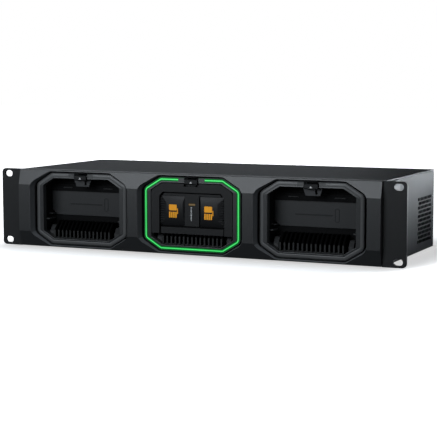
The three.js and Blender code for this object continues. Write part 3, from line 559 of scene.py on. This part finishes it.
def grown(by):
    """The light guide's octagon, larger by so many mm."""
    return octagon(GUIDE[0] + by, GUIDE[1] + by)


# The fascia in mm: the crowned band lies between the folds, and the slanted faces beyond them.
FASCIA = {"half": 215.5, "front": -6, "fold_y": -5.85, "edge_y": -1.5, "back": 10, "low": 0.4, "high": 88,
          "fold_low": 17.5, "fold_high": 70.7, "wall": 3}
FASCIA_NOSE = ((-0.08, 0.5), (0.1, 0.12), (0.5, 0))   # its rounded edge: beyond edge_y, and below the top
CROWN_STEPS = 8
RECESS = (60.5, 41.5)             # half width and half height of a bay's recess, beside the ring
FLARE = 2.3                       # how much wider the recess is at the front
FLARE_FROM, FLARE_TO = 1.0, -5.65 # depths between which it widens
SLEEVE = 2.5                      # thickness of the wall round the recess
SLEEVE_TO = -3.5
# Faces that get painted light, a lighter copy of the coat: those well inside the edges, in front of a
# depth, and not facing ahead; the upward ones lighter still.
INSIDE = {"half": 212, "low": 1.5, "high": 86.5, "back": 2, "ahead": 0.75, "upward": 0.4}


def fascia_outline():
    """The fascia's section in y and z: a slightly crowned band between two slanted faces."""
    f = FASCIA
    middle = (f["fold_low"] + f["fold_high"]) / 2
    reach = f["fold_high"] - middle
    crown = f["fold_y"] - f["front"]
    along = [2 * i / CROWN_STEPS - 1 for i in range(CROWN_STEPS + 1)]
    band = [(f["front"] + crown * at ** 2, middle + reach * at) for at in along]
    top = [(f["edge_y"] + y, f["high"] - drop) for y, drop in FASCIA_NOSE]
    bottom = [(y, f["high"] + f["low"] - z) for y, z in reversed(top)]
    return bottom + band + top + [(f["back"], f["high"]), (f["back"], f["low"])]


def hollow_outline():
    """The section of the space within the fascia's walls."""
    f, wall = FASCIA, FASCIA["wall"]
    low, high, back = f["low"] + wall, f["high"] - wall, f["back"] + 1
    return [(f["edge_y"] + wall, low), (back, low), (back, high), (f["edge_y"] + wall, high),
            (f["front"] + wall, f["fold_high"]), (f["front"] + wall, f["fold_low"])]


def add_prism_x(bm, points, x0, x1):
    """A solid with an outline in y and z in mm from the ear plane, between two widths in mm."""
    sides = [[bm.verts.new((x * MM, EAR_Y + y * MM, z * MM)) for y, z in points] for x in (x0, x1)]
    bm.faces.new(sides[0])
    bm.faces.new(sides[1][::-1])
    for i in range(len(points)):
        j = (i + 1) % len(points)
        bm.faces.new((sides[0][i], sides[1][i], sides[1][j], sides[0][j]))


def prism_x(points, x0, x1):
    """The same solid by itself, for joining on or cutting."""
    bm = bmesh.new()
    add_prism_x(bm, points, x0, x1)
    return bm


def recess_at(by):
    """The recess's outline, larger by so many mm."""
    return octagon(RECESS[0] + by, RECESS[1] + by, steps=9)


def capped_loops(centre_x, loops):
    """A solid skinned from rings of equal length, with a face at each end."""
    bm = bmesh.new()
    faces = add_loops(bm, centre_x, loops, closed=False)
    per_row = len(loops[0][0])
    bm.faces.new([face.verts[0] for face in faces[:per_row]])
    bm.faces.new([face.verts[3] for face in faces[-per_row:]])
    return bm


def build_fascia():
    """The front moulding, with a flared recess round each bay."""
    f, wall, slot = FASCIA, FASCIA["wall"], "fascia_coat"
    block = prism_x(fascia_outline(), -f["half"], f["half"])
    piece = new_piece("front_fascia_fine", block, MATERIALS[slot], "chassis", ["front_fascia"], slot)
    carve(piece, prism_x(hollow_outline(), wall - f["half"], f["half"] - wall))
    for centre in BAYS.values():
        sleeve = [(recess_at(SLEEVE), f["back"]), (recess_at(SLEEVE), FLARE_FROM),
                  (recess_at(SLEEVE + FLARE * 0.7), SLEEVE_TO)]
        unite(piece, capped_loops(centre, sleeve))
    combine(piece, prism_x(fascia_outline(), -f["half"], f["half"]), "INTERSECT")
    for centre in BAYS.values():
        hole = [(recess_at(0), f["back"] + 1), (recess_at(0), FLARE_FROM),
                (recess_at(FLARE * 0.98), FLARE_TO), (recess_at(FLARE + 0.45), f["front"] - 0.2)]
        carve(piece, capped_loops(centre, hole))
    piece.data.materials.append(RECESS_PAINTED_LIGHT)
    piece.data.materials.append(LIP_PAINTED_LIGHT)
    # Painted light: the recess walls take the lighter coat, and their upward faces the lightest.
    for face in piece.data.polygons:
        x, y, z = face.center
        inside = abs(x) < INSIDE["half"] * MM and INSIDE["low"] * MM < z < INSIDE["high"] * MM
        if abs(face.normal.y) < INSIDE["ahead"] and inside and y < EAR_Y + INSIDE["back"] * MM:
            face.material_index = 2 if face.normal.z > INSIDE["upward"] else 1
    set_sharp(piece, 9)
    return piece


# ---- Rings and light guides ---------------------------------------------------------------------
MOUTH = (49.0, 34.2)              # half width and half height of the opening within the ring
RING_SLANT = 0.08                 # how fast the ring's face falls back towards its outside
RING_INNER = 6.4                  # how far the ring reaches in from the light guide's centreline
RING_BACK = 7.4
GROOVE = 1.68                     # half width of the groove for the light guide
GROOVE_FLOOR = 3.5
NOTCH = {"half": 8.6, "back_half": 11.4, "step": 5.3, "back": 9, "low": 32, "high": 40.2}
BRIDGE = {"end": 15.9, "half": 2.25}
GUIDE_BREAK = {"half": 16, "back": 5, "low": 30, "high": 45}
GUIDE_CORE = 0.62                 # half width of the light guide's bright middle
GUIDE_BACK = 3.2


def mouth(by):
    """The ring's opening, larger by so many mm."""
    return octagon(MOUTH[0] + by, MOUTH[1] + by)


def slanted(by, y=1.0):
    """The depth of the ring's face, by mm outside the light guide's centreline."""
    return y + RING_SLANT * (by + RING_INNER)


def loops_of(profile):
    """Rings for a profile of distances from the light guide's centreline, each with its depth."""
    return [(grown(by), y) for by, y in profile]


def boxed(centre, half, y, z):
    """A box about a bay's upright centre plane, from sizes in mm; z is from the bay's centre."""
    return box_cutter((centre - half * MM, centre + half * MM), (EAR_Y + y[0] * MM, EAR_Y + y[1] * MM),
                      (BAY_Z + z[0] * MM, BAY_Z + z[1] * MM))


def build_ring(bay):
    """The octagonal bezel with its groove for the light guide and its latch notch; in the occupied bay the
    faces beside the guide glow as painted light.
    """
    centre = BAYS[bay]
    outside = [(2.8, RING_BACK), (2.8, slanted(2.8, 1.5)), (2.65, slanted(2.65, 1.15)), (2.3, slanted(2.3)),
               (2.2, slanted(2.2)), (GROOVE, slanted(GROOVE)), (GROOVE, GROOVE_FLOOR),
               (-GROOVE, GROOVE_FLOOR), (-GROOVE, slanted(-GROOVE)), (-2.2, slanted(-2.2))]
    inside = [(mouth(0.5), slanted(-5.9)), (mouth(0.15), slanted(-6.25, 1.15)),
              (mouth(0), slanted(-6.4, 1.5)), (mouth(0), RING_BACK)]
    loops = loops_of(outside) + inside
    bm = bmesh.new()
    faces = add_loops(bm, centre, loops)
    per_row = len(loops[0][0])
    # Painted light: in the occupied bay, the faces beside the guide take the painted glow.
    beside_guide = (4, 8)
    for i, face in enumerate(faces):
        face.material_index = 1 if i // per_row in beside_guide else 0
    slot = "ring_plastic"
    looks = [MATERIALS[slot], GUIDE_LIGHT_PAINTED_ON_RING if bay == OCCUPIED else MATERIALS[slot]]
    piece = new_piece(f"bay_ring_{bay}_fine", bm, looks, "chassis", [f"bay_ring_{bay}"], slot)
    height = (NOTCH["low"], NOTCH["high"])
    carve(piece, boxed(centre, NOTCH["half"], (0, NOTCH["back"]), height))
    carve(piece, boxed(centre, NOTCH["back_half"], (NOTCH["step"], NOTCH["back"]), height))
    build_bridge(bay)
    set_sharp(piece, 15)


def build_bridge(bay):
    """Fills the groove beside the latch, where the light guide stops short."""
    bm = bmesh.new()
    z, half = BAY_Z / MM + GUIDE[1], BRIDGE["half"]
    outline = [(slanted(-half), z - half), (slanted(half), z + half), (GROOVE_FLOOR, z + half),
               (GROOVE_FLOOR, z - half)]
    for side in (-1, 1):
        ends = [BAYS[bay] / MM + side * x for x in (BRIDGE["end"], NOTCH["half"])]
        add_prism_x(bm, outline, *sorted(ends))
    slot = "ring_plastic"
    set_sharp(new_piece(f"ring_bridge_{bay}", bm, MATERIALS[slot], "chassis", slot=slot))


def set_sharp(piece, degrees=32):
    """Keeps the edges above an angle sharp in shading."""
    piece.data.shade_smooth()
    piece.data.set_sharp_from_angle(angle=math.radians(degrees))


def build_guide(bay):
    """The light guide: a crowned strip with a break at the top. Its edge is deeper in colour."""
    centre = BAYS[bay]
    lit = bay == OCCUPIED
    profile = [(1.62, GUIDE_BACK), (1.62, slanted(1.62, 1.08)), (1.5, slanted(1.5)),
               (GUIDE_CORE, slanted(GUIDE_CORE, 0.94)), (-GUIDE_CORE, slanted(-GUIDE_CORE, 0.94)),
               (-1.5, slanted(-1.5)), (-1.62, slanted(-1.62, 1.08)), (-1.62, GUIDE_BACK)]
    core_row = 3
    loops = loops_of(profile)
    bm = bmesh.new()
    faces = add_loops(bm, centre, loops)
    per_row = len(loops[0][0])
    for i, face in enumerate(faces):
        face.material_index = 1 if lit and i // per_row != core_row else 0
    slot = "guide_lit" if lit else "guide_off"
    looks = [MATERIALS["guide_lit"], MATERIALS["guide_edge"]] if lit else [MATERIALS["guide_off"]]
    piece = new_piece(f"light_guide_{bay}_fine", bm, looks, "chassis", [f"light_guide_{bay}"], slot)
    gap = GUIDE_BREAK
    carve(piece, boxed(centre, gap["half"], (0, gap["back"]), (gap["low"], gap["high"])))
    set_sharp(piece)
    # The lit guide throws no light on the object; the painted glow on its ring stands in for that.
    piece.visible_diffuse = not lit
    piece.visible_glossy = not lit


# ---- Latch, module marks and other small pieces ------------------------------------------------
# Sizes in mm; y is from the ear plane, and z from the bay's centre.
TRIANGLE = {"y": (-0.52, -0.1), "low": 34.1, "half": 1.5, "high": 2.1}
CARRIER_MARKS = {"left": (-21.9, 3.2), "right": (20.5, 2.6)}
CARD = {"y": (1.9, 2.2), "low": -5.4, "high": 3.9, "reach": 7.2, "split": 0.7, "round": 0.8}
CARD_FINGER = {"count": 4, "pitch": 2.5, "wide": 1.8, "round": 0.5}
CARD_TAB = ((4.3, -3), (5.4, 3))  # its low and high corners, in x and z
DASH = {"x": -0.7, "y": (2.45, 2.8), "count": 11, "low": -6.8, "pitch": 1.4, "high": 0.95,
        "halves": (0.45, 0.75)}
MARK_EDGE = 0.05 * MM


def deep(y):
    """Two depths in mm from the ear plane, in metres."""
    return EAR_Y + y[0] * MM, EAR_Y + y[1] * MM


def placed(points, x, z):
    """An outline in mm about a point in mm, whose height is from the bay's centre, in metres."""
    return [((x + across) * MM, BAY_Z + (z + up) * MM) for across, up in points]


def build_latch_mark(bay):
    """A small raised triangle on the latch's pad."""
    bm = bmesh.new()
    half = TRIANGLE["half"]
    points = placed([(-half, 0), (half, 0), (0, TRIANGLE["high"])], BAYS[bay] / MM, TRIANGLE["low"])
    add_prism_y(bm, points, *deep(TRIANGLE["y"]))
    mark = new_piece(f"latch_mark_{bay}", bm, MARK_WHITE, f"latch_{bay}", slot="latch_plastic")
    bevel(mark, MARK_EDGE, 1)


def build_carrier_mark(side):
    """A plain card symbol: a body, a row of fingers below it, and a tab."""
    at, depth, finger = CARRIER_MARKS[side], deep(CARD["y"]), CARD_FINGER
    bm = bmesh.new()
    body = rounded(corners((CARD["low"], CARD["split"]), (CARD["high"], CARD["reach"])), CARD["round"])
    add_prism_y(bm, placed(body, *at), *depth)
    for i in range(finger["count"]):
        start = CARD["low"] + i * finger["pitch"]
        shape = corners((start, -CARD["reach"]), (start + finger["wide"], -CARD["split"]))
        add_prism_y(bm, placed(rounded(shape, finger["round"]), *at), *depth)
    (x0, z0), (x1, z1) = placed(CARD_TAB, *at)
    add_box(bm, (x0, x1), depth, (z0, z1))
    piece = new_piece(f"carrier_mark_{side}", bm, ORANGE_PRINT_PAINTED_GLOW, f"card_carrier_{side}", slot="status_orange")
    bevel(piece, MARK_EDGE, 1)


def build_column_line():
    """A pale line of short dashes down the module's centre column."""
    bm = bmesh.new()
    for i in range(DASH["count"]):
        half = DASH["halves"][1 if i % 3 else 0]
        low = DASH["low"] + DASH["pitch"] * i
        (x0, z0), (x1, z1) = placed([(-half, 0), (half, DASH["high"])], DASH["x"], low)
        add_box(bm, (x0, x1), deep(DASH["y"]), (z0, z1))
    bevel(new_piece("module_line", bm, MARK_PALE, "module", slot="module_plastic"), MARK_EDGE, 1)


FIELD = {"half": 39, "high": 24, "chamfer": (4.2, 4.5), "low": -22.5, "floor": 2.6}
FIELD_GROOVE = {"outer": 0.02, "inner": 1.5, "front": 0.3, "back": 1.5}
CROSS_GROOVE = {"y": (2.2, 4.3), "z": (-14.5, -12.8)}
SUNK = {"side": (2.9, 4.6), "floor": (3.4, 4.5), "largest": 200}   # depths of grooves' faces, and an area


def field_outline(inset):
    """The outline of the module's sunken field, in mm, open at the bottom."""
    half, high = FIELD["half"] - inset, FIELD["high"] - inset
    across, up = FIELD["chamfer"]
    return [(-half, FIELD["low"]), (half, FIELD["low"]), (half, high - up), (half - across, high),
            (across - half, high), (-half, high - up)]


def build_module_plate():
    """The module's front, with a groove round its sunken field and one across below the carriers; the
    grooves' faces are painted near black as painted shade.
    """
    node = "module_front_plate"
    looks = [MATERIALS["module_plastic"], PAINTED_SHADE_BLACK]
    piece = new_piece(f"{node}_fine", clean_copy(node), looks, BODY_OF[node], [node], SLOT_OF[node])
    floor = FIELD["floor"]
    outer, inner = field_outline(FIELD_GROOVE["outer"]), field_outline(FIELD_GROOVE["inner"])
    band = outer[1:] + outer[:1] + inner[:1] + inner[:0:-1]
    groove = bmesh.new()
    depth = deep((floor - FIELD_GROOVE["front"], floor + FIELD_GROOVE["back"]))
    add_prism_y(groove, placed(band, 0, 0), *depth)
    carve(piece, groove)
    carve(piece, boxed(BAYS[OCCUPIED], FIELD["half"], CROSS_GROOVE["y"], CROSS_GROOVE["z"]))
    # Painted shade: the grooves' side and floor faces take the near-black look.
    for face in piece.data.polygons:
        y, ahead = (face.center.y - EAR_Y) / MM, face.normal.y
        small = face.area < SUNK["largest"] * MM * MM
        side = SUNK["side"][0] < y < SUNK["side"][1] and abs(ahead) < 0.5 and small
        if side or (ahead < -0.5 and SUNK["floor"][0] < y < SUNK["floor"][1]):
            face.material_index = 1
    bevel(piece, 0.12 * MM)


# ---- Pockets and doors --------------------------------------------------------------------------
# Where a pocket's looks change, in mm from the bay's centre and the ear plane.
POCKET_LOOKS = {"back": 20.8, "high": -5, "fins": 36.5, "fin_low": -24, "ledge": (38.5, 49)}
POCKET_RIB = {"x": (20, 32), "y": (17.2, 18.5), "z": (22.2, 23.2)}
DOOR_MARK = {"y": (20.0, 20.4), "bar": ((-25, 3.3), (17, 4.9)), "bar_round": 0.7, "oval_at": (22.2, 4.4),
             "outer": (2.6, 7.6), "inner": (1.8, 6.8)}


def pocket_pick(bay):
    """Chooses a look for each face of a pocket: dull walls, fin fronts painted lighter as painted light,
    the fins' other faces painted near black as painted shade, and lighter ledges.
    """
    def pick(face):
        at, limit = face.calc_center_median(), POCKET_LOOKS
        x, y, z = abs(at.x - BAYS[bay]) / MM, (at.y - EAR_Y) / MM, (at.z - BAY_Z) / MM
        if y > limit["back"] or z > limit["high"]:
            return 0
        # Painted light and shade: the fins' low front faces take the lighter coat, and their other faces
        # near black.
        if x < limit["fins"]:
            return 1 if z < limit["fin_low"] and face.normal.y < -0.9 else 3
        return 2 if limit["ledge"][0] < x < limit["ledge"][1] else 0
    return pick


def build_pocket(bay):
    """The pocket with its looks, and two thin ribs above the door."""
    looks = [MATERIALS["liner_plastic"], FIN_FRONT_PAINTED_LIGHT, LEDGE, PAINTED_SHADE_BLACK]
    refined(f"bay_pocket_{bay}", 0.2 * MM, looks, pocket_pick(bay))
    bm = bmesh.new()
    low, high = (BAY_Z + z * MM for z in POCKET_RIB["z"])
    for side in (-1, 1):
        x = sorted(BAYS[bay] + side * reach * MM for reach in POCKET_RIB["x"])
        add_box(bm, x, deep(POCKET_RIB["y"]), (low, high))
    ribs = new_piece(f"pocket_ribs_{bay}", bm, MATERIALS["latch_plastic"], "chassis", slot="liner_plastic")
    bevel(ribs, 0.2 * MM)


def build_door_mark(bay):
    """A plain moulded bar, with an upright oval outline at its end, coloured dark as painted shade. The
    occupied bay's door is open.
    """
    centre = BAYS[bay]
    front, back = DOOR_MARK["y"]
    bm = bmesh.new()
    bar = rounded(corners(*DOOR_MARK["bar"]), DOOR_MARK["bar_round"])
    add_prism_y(bm, placed(bar, centre / MM, 0), *deep(DOOR_MARK["y"]))
    x, z = DOOR_MARK["oval_at"]
    outer, inner = [oblong(x, z, 2 * half_x, 2 * half_z, half_x - 0.05, 6)
                    for half_x, half_z in (DOOR_MARK["outer"], DOOR_MARK["inner"])]
    add_loops(bm, centre, [(outer, back), (outer, front), (inner, front), (inner, back)])
    if bay == OCCUPIED:
        bmesh.ops.rotate(bm, verts=bm.verts, cent=JOINT_AT[f"door_hinge_{bay}"],
                         matrix=Matrix.Rotation(math.radians(90), 3, "X"))
    mark = new_piece(f"door_mark_{bay}", bm, DOOR_MARK_PAINTED_SHADE, f"door_{bay}", slot="door_plastic")
    bevel(mark, 0.06 * MM, 1)


# ---- Side panels: rows of small holes, staggered ---------------------------------------------
VENT = {"y0": 124.5, "z0": 11.2, "pitch": 5.5, "row": 4.71, "rows": 11, "across": 10,
        "long": 4.6, "tall": 3.7, "round": 1.3}
SCREW_HOLE = {"y": 26, "z": (20, 68), "wide": 4, "round": 1.98}


def side_hole(bm, x, y, z, long, tall, radius):
    """A rounded hole through an upright sheet that faces sideways, for cutting."""
    add_prism_x(bm, oblong(y, z, long, tall, radius), *x)


def screw_holes(bm, x):
    """The two holes for the screws that hold a bracket to the side."""
    wide = SCREW_HOLE["wide"]
    for z in SCREW_HOLE["z"]:
        side_hole(bm, x, SCREW_HOLE["y"], z, wide, wide, SCREW_HOLE["round"])


def build_side_panel(side):
    """A side sheet with its field of staggered holes, whose cut edges are painted near black as painted
    shade.
    """
    node = f"side_panel_{side}"
    low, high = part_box(node)
    sheet = box_cutter((low.x, high.x), (low.y, high.y), (low.z, high.z))
    slot = "chassis_sheet"
    panel = new_piece(f"{node}_fine", sheet, [MATERIALS[slot], PAINTED_SHADE_BLACK], "chassis", [node], slot)
    through = (low.x / MM - 2, high.x / MM + 2)
    holes = bmesh.new()
    for row in range(VENT["rows"]):
        odd = row % 2
        for i in range(VENT["across"] - odd):
            y = VENT["y0"] + VENT["long"] / 2 + (i + odd / 2) * VENT["pitch"]
            z = VENT["z0"] + row * VENT["row"]
            side_hole(holes, through, y, z, VENT["long"], VENT["tall"], VENT["round"])
    screw_holes(holes, through)
    carve(panel, holes)
    # Painted shade: the holes' walls take the near-black look.
    for face in panel.data.polygons:
        face.material_index = 0 if abs(face.normal.x) > 0.9 or face.area > 20 * MM * MM else 1
    set_sharp(panel)


# ---- Rack brackets ----------------------------------------------------------------------------
EAR = {"inner": 215.8, "outer": 241.3, "high": 88.1, "thick": 3, "corner": 4.6, "corner_steps": 6,
       "slot_x": 232.55, "slots": (5.95, 82.15), "slot": (10, 7)}
FLANGE = {"inner": 216.8, "outer": 218.8, "y": (1.5, 50), "low": 2.05, "high": 86.05, "through": (215, 221)}


def ear_outline(sign):
    """A rack ear in x and z: square corners beside the housing, and rounded ones outside."""
    middle, width = (EAR["inner"] + EAR["outer"]) / 2, EAR["outer"] - EAR["inner"]
    steps = EAR["corner_steps"]
    round_all = oblong(middle, EAR["high"] / 2, width, EAR["high"], EAR["corner"], steps)
    per_corner = steps + 1
    outer = round_all[per_corner:3 * per_corner]
    points = [(EAR["inner"], 0)] + outer + [(EAR["inner"], EAR["high"])]
    return [(sign * x * MM, z * MM) for x, z in points]


def build_bracket(side):
    """A rack ear with rounded corners and slots, and its flange along the chassis."""
    sign = -1 if side == "left" else 1
    node = f"rack_bracket_{side}"
    bm = bmesh.new()
    add_prism_y(bm, ear_outline(sign), *deep((0, EAR["thick"])))
    piece = new_piece(f"{node}_fine", bm, MATERIALS[SLOT_OF[node]], "chassis", [node], SLOT_OF[node])
    x = sorted((sign * FLANGE["inner"] * MM, sign * FLANGE["outer"] * MM))
    unite(piece, box_cutter(x, deep(FLANGE["y"]), (FLANGE["low"] * MM, FLANGE["high"] * MM)))
    slots = bmesh.new()
    long, tall = EAR["slot"]
    for z in EAR["slots"]:
        outline = oblong(sign * EAR["slot_x"], z, long, tall, tall / 2 - 0.02, 6)
        add_prism_y(slots, [(across * MM, up * MM) for across, up in outline], *deep((-1, 4.5)))
    carve(piece, slots)
    holes = bmesh.new()
    screw_holes(holes, sorted(sign * at for at in FLANGE["through"]))
    carve(piece, holes)
    bevel(piece, 0.3 * MM)


# ---- Assembly ---------------------------------------------------------------------------------
def carry_over():
    """Finer copies of the CAD nodes that show, and a material for the rest."""
    for node in ("chassis_base", "top_cover", "rear_panel", "power_inlet", "data_port_block",
                 "module_body", "module_status_bar", "card_carrier_left", "card_carrier_right"):
        refined(node, 0.2 * MM)
    for bay in BAYS:
        refined(f"dust_door_{bay}", 0.25 * MM)
        refined(f"latch_lever_{bay}", 0.3 * MM)
        refined(f"latch_bracket_{bay}", 0.3 * MM, looks=LATCH_FRAME)
    for node, cad in frame["nodes"].items():
        cad.data.materials.clear()
        cad.data.materials.append(MATERIALS[SLOT_OF[node]])


def main():
    """Builds the stage and every visible piece."""
    set_camera()
    set_lights()
    set_floor()
    carry_over()
    build_fascia()
    for bay in BAYS:
        build_ring(bay)
        build_guide(bay)
        build_latch_mark(bay)
        build_pocket(bay)
        build_door_mark(bay)
    for side in ("left", "right"):
        build_side_panel(side)
        build_bracket(side)
        build_carrier_mark(side)
    build_column_line()
    build_module_plate()


main()
bpy.context.view_layer.update()
